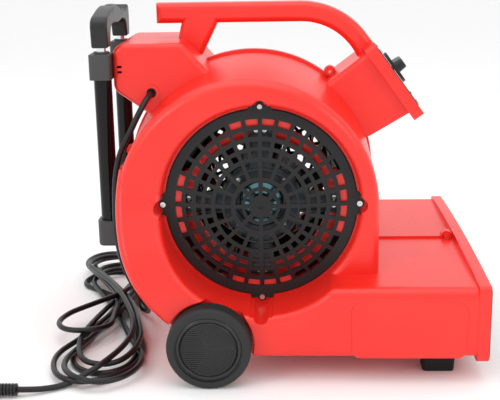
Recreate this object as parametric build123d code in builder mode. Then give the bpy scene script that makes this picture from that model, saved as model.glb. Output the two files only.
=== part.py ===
"""Air mover: a centrifugal carpet blower with wheels and a telescopic trolley handle.

Millimetres, +Z up, +X towards the outlet. The origin is on the floor, midway along the machine,
in the plane where the two housing halves meet (Y = 0).
"""

import os
from math import atan2, cos, degrees, hypot, pi, radians, sin, tan

from build123d import *

os.makedirs("parts", exist_ok=True)

# ---------------------------------------------------------------- overall sizes
overall_length = 518.0
half_width = 226.5              # outlet flange, each side of the seam
fan_x = -31.0                   # fan axis, runs along Y
fan_z = 220.0
fan_centre = (fan_x, fan_z)
front_x = overall_length / 2
back_x = -overall_length / 2

# ---------------------------------------------------------------- shared thicknesses and clearances
wall = 4.0                      # moulded housing wall
seam_gap = 0.3                  # between the two housing halves
body_gap = 0.3                  # between bodies that move past each other
running = 0.05                  # radial clearance of a shaft in its bearing or bore
fastener_gap = 0.1              # radial clearance of a screw in its hole

# ---------------------------------------------------------------- housing
base_z = 35.0                   # underside of the base
base_top_z = 127.0
base_half_y = 226.0
base_start_x = fan_x + 20.0      # inside the fan chamber, where its floor is already flat
ring_y = 165.0                  # front of the bulging inlet ring
ring_centre = (fan_x - 17.5, fan_z - 9.0)
ring_r = 172.5
ring_round = 15.0
recess_r = 129.5
seat_y = 147.0                  # plane on which the inlet grille sits
inlet_r = 104.0
inlet_lip_y = 130.0
inlet_funnel_r = 87.0            # throat of the ring that guides air into the impeller
inlet_funnel_y = 120.0
inlet_slot_r = 113.5            # outer edge of the curved slots outside that ring
inlet_land = 88.0               # width of each land between two slots
rib_height = 3.0                # rib along the seam
rib_depth = 5.0
flange_thick = 15.0
flange_top_z = 133.0
flange_bottom_z = 28.5
mouth_margin = 9.0              # flange edge to the air opening

# scroll: three tangent quarter arcs, (centre x, centre z, radius) from the fan axis
scroll_arcs = [(-13.0, 18.0, 165.0), (-13.0, 6.0, 177.0), (1.0, 6.0, 191.0)]
tongue_x = fan_x + scroll_arcs[0][0] + scroll_arcs[0][2]

# ---------------------------------------------------------------- wheels
wheel_r = 54.4
wheel_x = fan_x - 66.4
wheel_outer_y = 246.0
wheel_width = 31.0
wheel_inner_y = wheel_outer_y - wheel_width
well_gap = 3.5                  # wheel to wheel arch
well_y = wheel_inner_y - 4.0
axle_r = 6.0
axle_tunnel_r = 11.5

# ---------------------------------------------------------------- fan and motor
impeller_r = 118.0
impeller_eye_r = 100.0
impeller_half_y = 116.0
blade_count = 36
shaft_r = 6.0
motor_r = 54.0
motor_back_y = 24.0
bearing_r = 16.0
bearing_width = 11.0
fit_gap = 0.02                  # radial gap of a part pressed or glued into its seat
set_screw_r = 2.5

spider_arm = 29.0               # width of each arm of the motor spider
spider_thick = 3.0
ear_thick = 4.0

# ---------------------------------------------------------------- grille
grille_r = 126.5
grille_rim_r = 113.0
grille_thick = 3.0
grille_dome = 14.0
lug_r = 129.0                   # screw circle
screw_r = 2.0
screw_head_r = 3.6

# ---------------------------------------------------------------- rear box, trolley
box_half_y = 85.0
box_back_x = fan_x - 198.5
tube_y = 82.0
tube_r = 12.0
tube_x = box_back_x - tube_r - 2.0
tube_wall = 1.5
collar_top_z = 411.0
collar_bottom_z = 377.0
bracket_top_z = 182.0
bracket_bottom_z = 146.0
middle_r = 9.5
rod_r = 6.2
bracket_screw_y = 42.0
upper_screw_z = 392.0
lower_screw_z = 164.0

ear_hole_r = 2.1
spider_screw_circle = inlet_r - 8.0
ear_screw_offset = 4.6          # each screw of a spider arm from the middle of the arm
seam_screw_r = 1.9

# ---------------------------------------------------------------- feet
foot_x = fan_x + 232.0
foot_y = 175.0
foot_length = 46.0
foot_width = 34.0

# grille lugs and screws at four places on the screw circle
lug_base = 34.0                 # width of a lug where it leaves the rim
lug_tip_r = 6.0
lug_pocket_r = 10.0
lug_boss_r = 5.5

# ---------------------------------------------------------------- carry handle and control head
bar_top_z = 471.0
bar_bottom_z = 443.5
bar_half_y = 18.0
bar_end_x = fan_x - 146.0
bend_x = fan_x + 54.0           # where the straight bar turns down
bend_outer_r = 115.0
strut_foot_z = 400.0
panel_top = (fan_x + 152.0, 417.0)
panel_angle = 54.0              # slope of the control panel below the horizontal
panel_length = 120.0
panel_thick = 16.0
panel_half_y = 61.0
neck_half_y = 50.0
plate_thick = 1.2
plate_length = 98.0
plate_width = 84.0
knob_along = 52.0               # down the panel from its top edge
knob_r = 24.5
knob_skirt = 4.5
knob_height = 17.0
switch_shaft_r = 3.0

capacitor_z = 386.0
box_ceiling_z = 419.0

# ---------------------------------------------------------------- trolley grip
grip_bottom_z = 419.0
grip_top_z = 468.0
grip_leg = 26.0                 # leg width along Y
grip_half_x = 11.5
button_length = 26.0
button_width = 12.0
button_travel = 2.5

# ---------------------------------------------------------------- cord
cord_r = 4.0
cord_hole = (fan_x - 147.0, -box_half_y, 358.0)
gland_r = 6.6


def radial_plane():
    """Plane through the fan axis: local x is the distance from the axis, local y is Y."""
    return Plane(origin=(fan_x, 0, fan_z), x_dir=(1, 0, 0), z_dir=(0, 0, 1))


fan_axis = Axis((fan_x, 0, fan_z), (0, 1, 0))


def panel_plane(along=0.0, out=0.0):
    """Plane of the control panel: local y runs along Y, local z is the outward normal."""
    slope = radians(panel_angle)
    down, normal = (cos(slope), -sin(slope)), (sin(slope), cos(slope))
    x = panel_top[0] + along * down[0] + out * normal[0]
    z = panel_top[1] + along * down[1] + out * normal[1]
    return Plane(origin=(x, 0, z), x_dir=(down[0], 0, down[1]), z_dir=(normal[0], 0, normal[1]))


def spiral_face(arcs, inset, y):
    """Outline drawn in X and Z at depth y: three tangent quarter arcs closed by straight sides."""
    with BuildSketch(Plane.XZ.offset(y)) as outline:
        with BuildLine():
            ends = []
            for start, (x, z, r) in zip((0, 90, 180), arcs):
                ends.append(CenterArc((fan_x + x, fan_z + z), r - inset, start, 90))
            first, last = ends[0] @ 0, ends[2] @ 1
            Polyline(last, (first.X, last.Y), first)
        make_face()
    return outline.sketch


def fan_chamber(inset):
    """Near half of the fan chamber: spiral at the seam, round at the inlet ring."""
    round_arcs = [(ring_centre[0] - fan_x, ring_centre[1] - fan_z, ring_r)] * 3
    with BuildPart() as form:
        loft([spiral_face(scroll_arcs, inset, 0), spiral_face(round_arcs, inset, ring_y - inset)], ruled=True)
        fillet(form.faces().sort_by(Axis.Y)[0].edges(), ring_round - inset)
    return form.part


def base_body(inset, front):
    """Near half of the flat outlet duct, from under the fan to the flange."""
    with BuildPart() as form:
        with BuildSketch(Plane.XZ):
            with Locations((base_start_x, base_z + inset)):
                Rectangle(front - base_start_x, base_top_z - base_z - 2 * inset, align=(Align.MIN, Align.MIN))
        extrude(amount=base_half_y - inset)
        side = form.edges().filter_by(Axis.X).group_by(Axis.Y)[0].sort_by(Axis.Z)
        fillet(side[0], 10 - inset)
        fillet(form.edges().filter_by(Axis.X).group_by(Axis.Y)[0].sort_by(Axis.Z)[-1], 14 - inset)
    return form.part


def flank(inset):
    """Near wall under the inlet ring, leaning out from the ring to the full width of the base."""
    side = base_half_y - inset
    lean_top = ring_y + 103
    with BuildPart() as form:
        with BuildSketch(Plane.YZ.offset(fan_x + 60)):
            with BuildLine():
                lean = Spline((-side, 105), (inset + 8 - ring_y, lean_top), tangents=[(0, 1), (0.12, 1)])
                Polyline(lean @ 1, (0, lean_top), (0, base_z + inset), (-side, base_z + inset), lean @ 0)
            make_face()
        extrude(amount=-260)
        extrude(spiral_face(scroll_arcs, inset, 0), amount=base_half_y + 5, mode=Mode.INTERSECT)
        rounded = form.edges().filter_by(GeomType.LINE, reverse=True)
        rounded = rounded.filter_by(lambda e: e.center().Y < 10 - ring_y and e.center().X < fan_x - 40)
        fillet(rounded, 10 - inset)
    return form.part


def round_recess(outset):
    """Cylinder in which the inlet grille lies."""
    with BuildPart() as form:
        with BuildSketch(Plane.XZ.offset(seat_y - outset)):
            with Locations(fan_centre):
                Circle(recess_r + outset)
        extrude(amount=base_half_y)
    return form.part


def lug_trapezoid(margin):
    """Outline of a grille lug from the rim outwards; margin widens it for the pocket around it."""
    return Trapezoid(
        lug_base + 2 * margin, lug_r - grille_r + 5 + margin, 66, rotation=-90, align=(Align.CENTER, Align.MIN)
    )


def side_pockets(outset):
    """Pockets around the grille lugs, and the arch in which the wheel turns."""
    with BuildPart() as form:
        with BuildSketch(Plane.XZ.offset(seat_y - outset)):
            with Locations(fan_centre):
                with PolarLocations(lug_r, 4):
                    Circle(lug_pocket_r + outset)
                with PolarLocations(grille_r - 4, 4):
                    lug_trapezoid(1 + outset)
        extrude(amount=base_half_y)
        with BuildSketch(Plane.XZ.offset(well_y - outset)):
            with Locations((wheel_x, wheel_r)):
                Circle(wheel_r + well_gap + outset)
        extrude(amount=base_half_y)
    return form.part


def rear_box(inset):
    """Box behind the fan that holds the capacitor and the cord outlet."""
    top, back = 423.0, box_back_x + inset
    with BuildPart() as form:
        with BuildSketch(Plane.XZ):
            with BuildLine():
                Polyline(
                    (back, 361 + inset / 2),
                    (back, top - inset),
                    (fan_x - 105 - inset / 2, top - inset),
                    (fan_x - 45 - inset * 1.2, 358),
                    (fan_x - 100, 250),
                    (fan_x - 128, 311 + inset),
                    close=True,
                )
            make_face()
        extrude(amount=box_half_y - inset)
        upright = form.edges().filter_by(Axis.Y)
        fillet(upright.filter_by(lambda e: e.center().X < fan_x - 190), 16 - inset)
        fillet(form.edges().filter_by(Axis.Y).sort_by(Axis.Z)[-1], 12 - inset)
        front = form.faces().sort_by(Axis.Y)[0]
        fillet(front.edges().filter_by(lambda e: e.center().Z > 340 + inset), 9 - inset)
    return form.part


def control_head(inset):
    """Neck and sloping slab that carry the switch panel."""
    back_top = panel_plane(6, -panel_thick / 2).origin
    back_low = panel_plane(panel_length - 12, -panel_thick / 2).origin
    with BuildPart() as form:
        with BuildSketch(Plane.XZ):
            with BuildLine():
                Polyline(
                    (back_top.X, back_top.Z - inset),
                    (back_low.X - inset, back_low.Z + inset),
                    (fan_x + 150 - inset, 290 + inset),
                    (fan_x + 100, 270),
                    (fan_x + 40, 330),
                    (fan_x + 86, 360),
                    close=True,
                )
            make_face()
        extrude(amount=neck_half_y - inset)
        front = form.faces().sort_by(Axis.Y)[0]
        fillet(front.edges().sort_by(Axis.Z)[-2:], 9 - inset)
        with BuildSketch(panel_plane(inset, -inset)):
            Rectangle(panel_length - 2 * inset, 2 * (panel_half_y - inset), align=(Align.MIN, Align.CENTER))
            fillet(vertices(), 10 - inset)
        extrude(amount=2 * inset - panel_thick)
    return form.part


def carry_handle():
    """Near half of the handle: bar, thick rear end, slanted strut and the bend into the head."""
    bend_z = bar_top_z - bend_outer_r
    bend_inner_r = bar_bottom_z - bend_z
    with BuildPart() as form:
        with BuildSketch(Plane.XZ):
            with Locations(((bar_end_x + bend_x) / 2, (bar_top_z + bar_bottom_z) / 2)):
                Rectangle(bend_x - bar_end_x, bar_top_z - bar_bottom_z)
            with BuildLine():
                outer = CenterArc((bend_x, bend_z), bend_outer_r, 22, 68)
                inner = CenterArc((bend_x, bend_z), bend_inner_r, 22, 68)
                Line(outer @ 0, inner @ 0)
                Line(outer @ 1, inner @ 1)
            make_face()
            with BuildLine():
                Polyline(
                    (bar_end_x + 36, bar_bottom_z + 6),
                    (bar_end_x + 88, bar_bottom_z + 6),
                    (bar_end_x + 55, strut_foot_z - 16),
                    (bar_end_x + 24, strut_foot_z),
                    close=True,
                )
            make_face()
            corners = vertices().filter_by(lambda v: bar_bottom_z - 1 < v.Z < bar_bottom_z + 1)
            fillet(corners.filter_by(lambda v: v.X < bend_x - 20 and v.X > bar_end_x + 5), 9)
        extrude(amount=bar_half_y)
        front = form.faces().sort_by(Axis.Y)[0]
        fillet(front.edges(), 9)
    return form.part


def seam_bosses(radius, depth):
    """Short cylinders along the seam where the screws join the two halves."""
    places = [
        (fan_x + 95, 373),
        (front_x - flange_thick - 9, base_top_z + 3),
        (fan_x - 190, 262),
        (fan_x + 70, base_z - 1),
        (front_x - flange_thick - 9, base_z - 1),
        (box_back_x + 30, 340),
    ]
    with BuildPart() as form:
        with BuildSketch(Plane.XZ):
            with Locations(places):
                Circle(radius)
        extrude(amount=depth)
    return form.part


def outlet_flange(margin, start_x, thick):
    """Full-width plate at the air outlet, its top edge slightly bowed; margin shrinks its outline."""
    y, low, high = half_width - margin, flange_bottom_z + margin, flange_top_z - margin
    with BuildPart() as form:
        with BuildSketch(Plane.YZ.offset(start_x)):
            with BuildLine():
                ThreePointArc((-y, high - 3), (0, high + 3), (y, high - 3))
                Polyline((y, high - 3), (y, low), (-y, low), (-y, high - 3))
            make_face()
            fillet(vertices(), 7)
        extrude(amount=thick)
    return form.part


def screw_posts(radius, start_y, end_y):
    """Posts or holes behind the four grille lugs of the near half."""
    with BuildPart() as form:
        with BuildSketch(Plane.XZ.offset(end_y)):
            with Locations(fan_centre):
                with PolarLocations(lug_r, 4):
                    Circle(radius)
        extrude(amount=start_y - end_y)
    return form.part


def inlet_ring():
    """Ring behind the grille that carries the motor spider and narrows to the impeller."""
    front_y, back_y = -inlet_lip_y - ear_thick, -inlet_lip_y
    with BuildPart() as form:
        with BuildSketch(radial_plane()):
            with BuildLine():
                Polyline(
                    (inlet_r + wall, 1 - seat_y),
                    (inlet_r, 1 - seat_y),
                    (inlet_r, front_y),
                    (inlet_funnel_r + 4, front_y),
                    (inlet_funnel_r, front_y + 3),
                    (inlet_funnel_r, -inlet_funnel_y),
                    (inlet_funnel_r + 3, -inlet_funnel_y),
                    (inlet_funnel_r + 3, back_y),
                    (inlet_r + wall, back_y),
                    close=True,
                )
            make_face()
        revolve(axis=fan_axis)
    return form.part


def inlet_slots():
    """Curved openings outside the inlet ring, between its four lands."""
    with BuildPart() as form:
        with BuildSketch(Plane.XZ.offset(inlet_lip_y - 1)):
            with Locations(fan_centre):
                Circle(inlet_slot_r)
                Circle(inlet_r - 0.5, mode=Mode.SUBTRACT)
                Rectangle(2 * inlet_slot_r, inlet_land, mode=Mode.SUBTRACT)
                Rectangle(inlet_land, 2 * inlet_slot_r, mode=Mode.SUBTRACT)
        extrude(amount=seat_y)
    return form.part


def spider_holes(radius, depth):
    """Screws or holes through the four ears that carry the motor spider."""
    with BuildPart() as form:
        with BuildSketch(Plane.XZ.offset(inlet_lip_y - 0.5)):
            with Locations(fan_centre):
                with PolarLocations(spider_screw_circle, 4):
                    with Locations((0, -ear_screw_offset), (0, ear_screw_offset)):
                        Circle(radius)
        extrude(amount=depth)
    return form.part


def bracket_holes(radius=screw_r + fastener_gap, start_x=box_back_x - 1, depth=10.0):
    """Screws or holes that hold the upper trolley bracket to the rear box and the lower to the fan."""
    with BuildPart() as form:
        with BuildSketch(Plane.YZ.offset(start_x)):
            with Locations((-bracket_screw_y, upper_screw_z)):
                Circle(radius)
        extrude(amount=depth)
        with BuildSketch(Plane.YZ.offset(start_x)):
            with Locations((-bracket_screw_y, lower_screw_z)):
                Circle(radius)
        extrude(amount=depth + 16)
    return form.part


def foot_holes(radius=screw_r + fastener_gap, start_z=base_z - 1, depth=10.0):
    """Screws or holes that hold the near foot under the base."""
    with BuildPart() as form:
        with BuildSketch(Plane.XY.offset(start_z)):
            with Locations((foot_x - 12, -foot_y), (foot_x + 12, -foot_y)):
                Circle(radius)
        extrude(amount=depth)
    return form.part


def dome_drop(r):
    """How far the grille dome stands out at radius r."""
    dome_r = (grille_rim_r**2 + grille_dome**2) / (2 * grille_dome)
    return (dome_r**2 - r**2) ** 0.5 - (dome_r - grille_dome)


def pan_head_screws(plane, places, radius, length, head_r, head_h):
    """Pan-head screws whose heads stand on the given plane, shanks into it, with crossed slots."""
    with BuildPart() as form:
        with BuildSketch(plane):
            with Locations(places):
                Circle(head_r)
        extrude(amount=head_h)
        fillet(form.faces().sort_by(Axis(plane.origin, plane.z_dir))[-1].edges(), head_h * 0.45)
        with BuildSketch(plane):
            with Locations(places):
                Circle(radius)
        extrude(amount=-length)
        with BuildSketch(plane.offset(head_h)):
            with Locations(places):
                Rectangle(head_r * 1.1, head_r * 0.26)
                Rectangle(head_r * 0.26, head_r * 1.1)
        extrude(amount=-head_h * 0.5, mode=Mode.SUBTRACT)
    return form.part


def on_circle(radius, start, count=4):
    """Points on a circle about the fan axis, in X and Z."""
    angles = [radians(start + 360 * i / count) for i in range(count)]
    return [(fan_x + radius * cos(a), fan_z + radius * sin(a)) for a in angles]


def on_mouth(edge):
    """True for the edges where the recess opens through the side of the housing."""
    ends = [edge @ 0, edge @ 0.5, edge @ 1]
    radii = [hypot(p.X - fan_x, p.Z - fan_z) for p in ends]
    outside = ends[1].Y < -seat_y - 5
    along_wall = abs(ends[2].X - ends[0].X) + abs(ends[2].Z - ends[0].Z) < 0.5
    return outside and not along_wall and max(abs(r - recess_r) for r in radii) < 0.3


def tunnel(radius):
    """Moulded tunnel for the wheel axle, or its bore, across the near half."""
    with BuildPart() as form:
        with BuildSketch(Plane.XZ):
            with Locations((wheel_x, wheel_r)):
                Circle(radius)
        extrude(amount=well_y)
    return form.part


# ---------------------------------------------------------------- housing, near half
with BuildPart() as air_room:
    add(fan_chamber(wall))
    add(base_body(wall, front_x + 5))
    add(flank(wall))
    add(round_recess(wall), mode=Mode.SUBTRACT)
    add(side_pockets(wall), mode=Mode.SUBTRACT)
    add(screw_posts(lug_boss_r, seat_y, seat_y - 26), mode=Mode.SUBTRACT)
    add(tunnel(axle_tunnel_r), mode=Mode.SUBTRACT)

with BuildPart() as box_room:
    add(rear_box(wall))
    add(fan_chamber(0), mode=Mode.SUBTRACT)

with BuildPart() as head_room:
    add(control_head(wall))
    add(fan_chamber(0), mode=Mode.SUBTRACT)

with BuildPart() as housing_near:
    add(fan_chamber(0))
    add(base_body(0, front_x - 1))
    add(flank(0))
    add(round_recess(0), mode=Mode.SUBTRACT)
    fillet(housing_near.edges().filter_by(on_mouth), 10)
    add(side_pockets(0), mode=Mode.SUBTRACT)
    add(tunnel(axle_tunnel_r))
    add(rear_box(0))
    add(control_head(0))
    add(carry_handle())
    with BuildSketch(Plane.XZ):
        add(spiral_face(scroll_arcs, -rib_height, 0))
        with Locations((tongue_x - 40, base_top_z + rib_height)):
            Rectangle(front_x - flange_thick - tongue_x + 41, 20, align=(Align.MIN, Align.MAX))
    extrude(amount=rib_depth)
    add(seam_bosses(8.0, rib_depth + 1))
    add(seam_bosses(5.0, rib_depth + 7))
    add(outlet_flange(0, front_x - flange_thick, flange_thick))
    add(air_room.part, mode=Mode.SUBTRACT)
    add(outlet_flange(mouth_margin, front_x - 60, 70), mode=Mode.SUBTRACT)
    add(box_room.part, mode=Mode.SUBTRACT)
    add(head_room.part, mode=Mode.SUBTRACT)
    with BuildSketch(Plane.XZ.offset(inlet_lip_y)):
        with Locations(fan_centre):
            Circle(inlet_r)
    extrude(amount=seat_y, mode=Mode.SUBTRACT)
    add(inlet_ring())
    add(inlet_slots(), mode=Mode.SUBTRACT)
    add(screw_posts(screw_r + fastener_gap, seat_y + 1, seat_y - 16), mode=Mode.SUBTRACT)
    add(spider_holes(ear_hole_r, ear_thick + 1), mode=Mode.SUBTRACT)
    add(tunnel(axle_r + running), mode=Mode.SUBTRACT)
    with BuildSketch(Plane.XZ.offset(box_half_y - 2)):
        with Locations((cord_hole[0], cord_hole[2])):
            Circle(gland_r + 4.5)
    extrude(amount=4)
    with BuildSketch(Plane.XZ.offset(box_half_y - wall - 1)):
        with Locations((cord_hole[0], cord_hole[2])):
            Circle(gland_r)
        with Locations((box_back_x + 8, 393), (box_back_x + 8, 386)):
            SlotOverall(10, 3.2)
    extrude(amount=wall + 5, mode=Mode.SUBTRACT)
    with BuildSketch(panel_plane(knob_along, 1)):
        Circle(switch_shaft_r + 2.2)
    extrude(amount=-wall - 3, mode=Mode.SUBTRACT)
    with BuildSketch(panel_plane(panel_length / 2, 0)):
        with GridLocations(plate_length - 12, plate_width - 12, 2, 2):
            Circle(screw_r - 0.4 + fastener_gap)
    extrude(amount=-wall - 3, mode=Mode.SUBTRACT)
    add(bracket_holes(), mode=Mode.SUBTRACT)
    add(seam_bosses(seam_screw_r + fastener_gap, rib_depth + 8), mode=Mode.SUBTRACT)
    add(foot_holes(), mode=Mode.SUBTRACT)
    split(bisect_by=Plane.XZ.offset(seam_gap / 2), keep=Keep.TOP)

housing_near.part.label = "housing_near"
with BuildPart() as housing_far:
    mirror(housing_near.part, about=Plane.XZ)
housing_far.part.label = "housing_far"

# ---------------------------------------------------------------- screws along the seam
with BuildPart() as seam_screws:
    add(seam_bosses(seam_screw_r, rib_depth + 3))
    mirror(seam_screws.part, about=Plane.XZ)
seam_screws.part.label = "seam_screws"


# ---------------------------------------------------------------- inlet grilles
# openings: inner radius, outer radius, number around
grille_rings = [
    (15, 21, 8),
    (25, 33, 8),
    (39, 48, 16),
    (50.5, 59.5, 16),
    (65, 73, 32),
    (78, 85, 32),
    (91, 99, 32),
    (104.5, 113, 32),
]
grille_spoke = 5.4

with BuildPart() as grille_near:
    rim_y = -seat_y
    with BuildSketch(radial_plane()):
        with BuildLine():
            Polyline(
                (grille_rim_r, rim_y),
                (grille_r, rim_y),
                (grille_r, rim_y - grille_thick + 1),
                (grille_r - 1.5, rim_y - grille_thick),
                (grille_rim_r, rim_y - grille_thick),
            )
            ThreePointArc(
                (grille_rim_r, rim_y - grille_thick),
                (grille_rim_r / 2, rim_y - grille_thick - dome_drop(grille_rim_r / 2)),
                (0, rim_y - grille_thick - grille_dome),
            )
            Line((0, rim_y - grille_thick - grille_dome), (0, rim_y - grille_dome))
            ThreePointArc(
                (0, rim_y - grille_dome),
                (grille_rim_r / 2, rim_y - dome_drop(grille_rim_r / 2)),
                (grille_rim_r, rim_y),
            )
        make_face()
    revolve(axis=fan_axis)
    for inner, outer, count in grille_rings:
        with BuildSketch(Plane.XZ.offset(seat_y - 5)):
            with Locations(fan_centre):
                Circle(outer)
                Circle(inner, mode=Mode.SUBTRACT)
                with PolarLocations(0, count):
                    Rectangle(outer + 5, grille_spoke, align=(Align.MIN, Align.CENTER), mode=Mode.SUBTRACT)
        extrude(amount=grille_dome + 15, mode=Mode.SUBTRACT)
    with BuildSketch(Plane.XZ.offset(seat_y)):
        with Locations(fan_centre):
            with PolarLocations(lug_r, 4):
                Circle(lug_tip_r)
            with PolarLocations(grille_r - 4, 4):
                lug_trapezoid(0)
    extrude(amount=grille_thick)
    with BuildSketch(Plane.XZ.offset(seat_y)):
        with Locations(fan_centre):
            with PolarLocations(lug_r, 4):
                Circle(screw_r + fastener_gap)
    extrude(amount=grille_thick, mode=Mode.SUBTRACT)
    with BuildSketch(Plane.XZ.offset(seat_y + grille_dome + grille_thick - 1.2)):
        with Locations(fan_centre):
            Circle(3)
    extrude(amount=2, mode=Mode.SUBTRACT)
grille_near.part.label = "inlet_grille_near"
with BuildPart() as grille_far:
    mirror(grille_near.part, about=Plane.XZ)
grille_far.part.label = "inlet_grille_far"

with BuildPart() as grille_screws_near:
    add(
        pan_head_screws(
            Plane.XZ.offset(seat_y + grille_thick), on_circle(lug_r, 0), screw_r, 16, screw_head_r, 2.2
        )
    )
grille_screws_near.part.label = "grille_screws_near"
with BuildPart() as grille_screws_far:
    mirror(grille_screws_near.part, about=Plane.XZ)
grille_screws_far.part.label = "grille_screws_far"

# ---------------------------------------------------------------- outlet grid
grid_depth = 8.0
grid_bar = 3.0
grid_clear = 0.3
mouth_half_y = half_width - mouth_margin
mouth_low = flange_bottom_z + mouth_margin
mouth_high = flange_top_z - mouth_margin

with BuildPart() as outlet_grid:
    add(outlet_flange(mouth_margin + grid_clear, front_x - grid_depth - 1, grid_depth))
    add(outlet_flange(mouth_margin + grid_clear + 4, front_x - 30, 40), mode=Mode.SUBTRACT)
    with BuildSketch(Plane.YZ.offset(front_x - grid_depth - 1)):
        with Locations((0, (mouth_low + mouth_high) / 2)):
            with GridLocations(24, 1, 17, 1):
                Rectangle(grid_bar, mouth_high - mouth_low - 2)
        with Locations((0, (mouth_low + mouth_high) / 2)):
            with GridLocations(1, 22, 1, 3):
                Rectangle(2 * mouth_half_y - 6, grid_bar)
    extrude(amount=grid_depth - 2)
outlet_grid.part.label = "outlet_grid"

# ---------------------------------------------------------------- motor, its spider and shaft
spider_y = inlet_lip_y + ear_thick + body_gap           # back face of the spider
spider_reach = inlet_r - 3.2
bell_r = 33.0

with BuildPart() as motor_spider:
    with BuildSketch(Plane.XZ.offset(spider_y)):
        with Locations(fan_centre):
            Circle(motor_r - 4)
            Rectangle(2 * spider_reach, spider_arm)
            Rectangle(spider_arm, 2 * spider_reach)
            Circle(bell_r + 1, mode=Mode.SUBTRACT)
            with PolarLocations(spider_screw_circle, 4):
                with Locations((0, -ear_screw_offset), (0, ear_screw_offset)):
                    Circle(ear_hole_r, mode=Mode.SUBTRACT)
            with PolarLocations(motor_r - 12, 4, start_angle=45):
                Circle(screw_r + fastener_gap, mode=Mode.SUBTRACT)
    extrude(amount=spider_thick)
    with BuildSketch(Plane.XZ.offset(spider_y + spider_thick)):
        with Locations(fan_centre):
            with PolarLocations((inlet_r + motor_r) / 2 - 4, 4):
                with Locations((0, -spider_arm / 2 + 1.5), (0, spider_arm / 2 - 1.5)):
                    Rectangle(inlet_r - motor_r, 3)
    extrude(amount=3)
motor_spider.part.label = "motor_spider"

with BuildPart() as spider_screws:
    ear_places = []
    for angle in (0, 90, 180, 270):
        across = degrees(atan2(ear_screw_offset, spider_screw_circle))
        ear_places += [angle - across, angle + across]
    reach = hypot(spider_screw_circle, ear_screw_offset)
    places = [(fan_x + reach * cos(radians(a)), fan_z + reach * sin(radians(a))) for a in ear_places]
    add(
        pan_head_screws(
            Plane.XZ.offset(spider_y + spider_thick), places, ear_hole_r - fastener_gap, 8, 3.6, 2.2
        )
    )
spider_screws.part.label = "spider_screws"

with BuildPart() as motor_body:
    with BuildSketch(Plane.XZ.offset(motor_back_y)):
        with Locations(fan_centre):
            Circle(motor_r)
            with PolarLocations(motor_r - 0.5, 24):
                Rectangle(3, 3, mode=Mode.SUBTRACT)
    extrude(amount=spider_y - 0.3 - motor_back_y)
    with BuildSketch(Plane.XZ.offset(spider_y - 26)):
        with Locations(fan_centre):
            Circle(bell_r - 4)
    extrude(amount=30, mode=Mode.SUBTRACT)
    with BuildSketch(Plane.XZ.offset(motor_back_y)):
        with Locations(fan_centre):
            Circle(shaft_r + 1.5)
    extrude(amount=100, mode=Mode.SUBTRACT)
    with BuildSketch(Plane.XZ.offset(motor_back_y)):
        with Locations(fan_centre):
            Circle(bearing_r + fit_gap)
    extrude(amount=bearing_width, mode=Mode.SUBTRACT)
    with BuildSketch(Plane.XZ.offset(spider_y - 26 - bearing_width)):
        with Locations(fan_centre):
            Circle(bearing_r + fit_gap)
    extrude(amount=bearing_width + 1, mode=Mode.SUBTRACT)
    with BuildSketch(Plane.XZ.offset(spider_y - 14)):
        with Locations(fan_centre):
            with PolarLocations(motor_r - 12, 4, start_angle=45):
                Circle(screw_r + fastener_gap)
    extrude(amount=20, mode=Mode.SUBTRACT)
motor_body.part.label = "motor_body"

with BuildPart() as motor_screws:
    add(
        pan_head_screws(
            Plane.XZ.offset(spider_y + spider_thick), on_circle(motor_r - 12, 45), screw_r, 14, 3.6, 2.2
        )
    )
motor_screws.part.label = "motor_screws"

with BuildPart() as motor_bell:
    with BuildSketch(radial_plane()):
        with BuildLine():
            Polyline(
                (0, -spider_y - 4),
                (bell_r - 5, -spider_y - 4),
                (bell_r - 5, 2 - spider_y),
                (bell_r - 4.3, 2 - spider_y),
                (bell_r - 4.3, -spider_y - 5),
                (bell_r - 6, -spider_y - 8),
                (14, -spider_y - 11),
                (13, -spider_y - 9),
                (0, -spider_y - 9),
                close=True,
            )
        make_face()
    revolve(axis=fan_axis)
motor_bell.part.label = "motor_bell"

motor_bearings = []
for name, depth in (("motor_bearing_front", spider_y - 26 - bearing_width), ("motor_bearing_rear", motor_back_y)):
    with BuildPart() as motor_bearing:
        with BuildSketch(Plane.XZ.offset(depth)):
            with Locations(fan_centre):
                Circle(bearing_r)
                Circle(shaft_r + running, mode=Mode.SUBTRACT)
        extrude(amount=bearing_width)
        with BuildSketch(Plane.XZ.offset(depth)):
            with Locations(fan_centre):
                Circle(bearing_r - 3)
                Circle(shaft_r + 3, mode=Mode.SUBTRACT)
        extrude(amount=0.6, mode=Mode.SUBTRACT)
    motor_bearing.part.label = name
    motor_bearings.append(motor_bearing)

# ---------------------------------------------------------------- impeller and shaft
hub_half_y = 12.0
hub_r = 17.0
shaft_end_y = 16.0

with BuildPart() as motor_shaft:
    with BuildSketch(Plane.XZ.offset(-shaft_end_y)):
        with Locations(fan_centre):
            Circle(shaft_r)
    extrude(amount=shaft_end_y + spider_y - 14)
    chamfer(motor_shaft.edges().filter_by(GeomType.CIRCLE), 0.8)
motor_shaft.part.label = "motor_shaft"

with BuildSketch() as blade:
    with BuildLine():
        span = (impeller_r - impeller_eye_r) / 2 - 1
        ThreePointArc((-span, -3.5), (0, 1.2), (span, 3.5))
        ThreePointArc((-span, -5.0), (0.7, -0.4), (span, 2.0))
        Line((-span, -3.5), (-span, -5.0))
        Line((span, 3.5), (span, 2.0))
    make_face()

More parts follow.
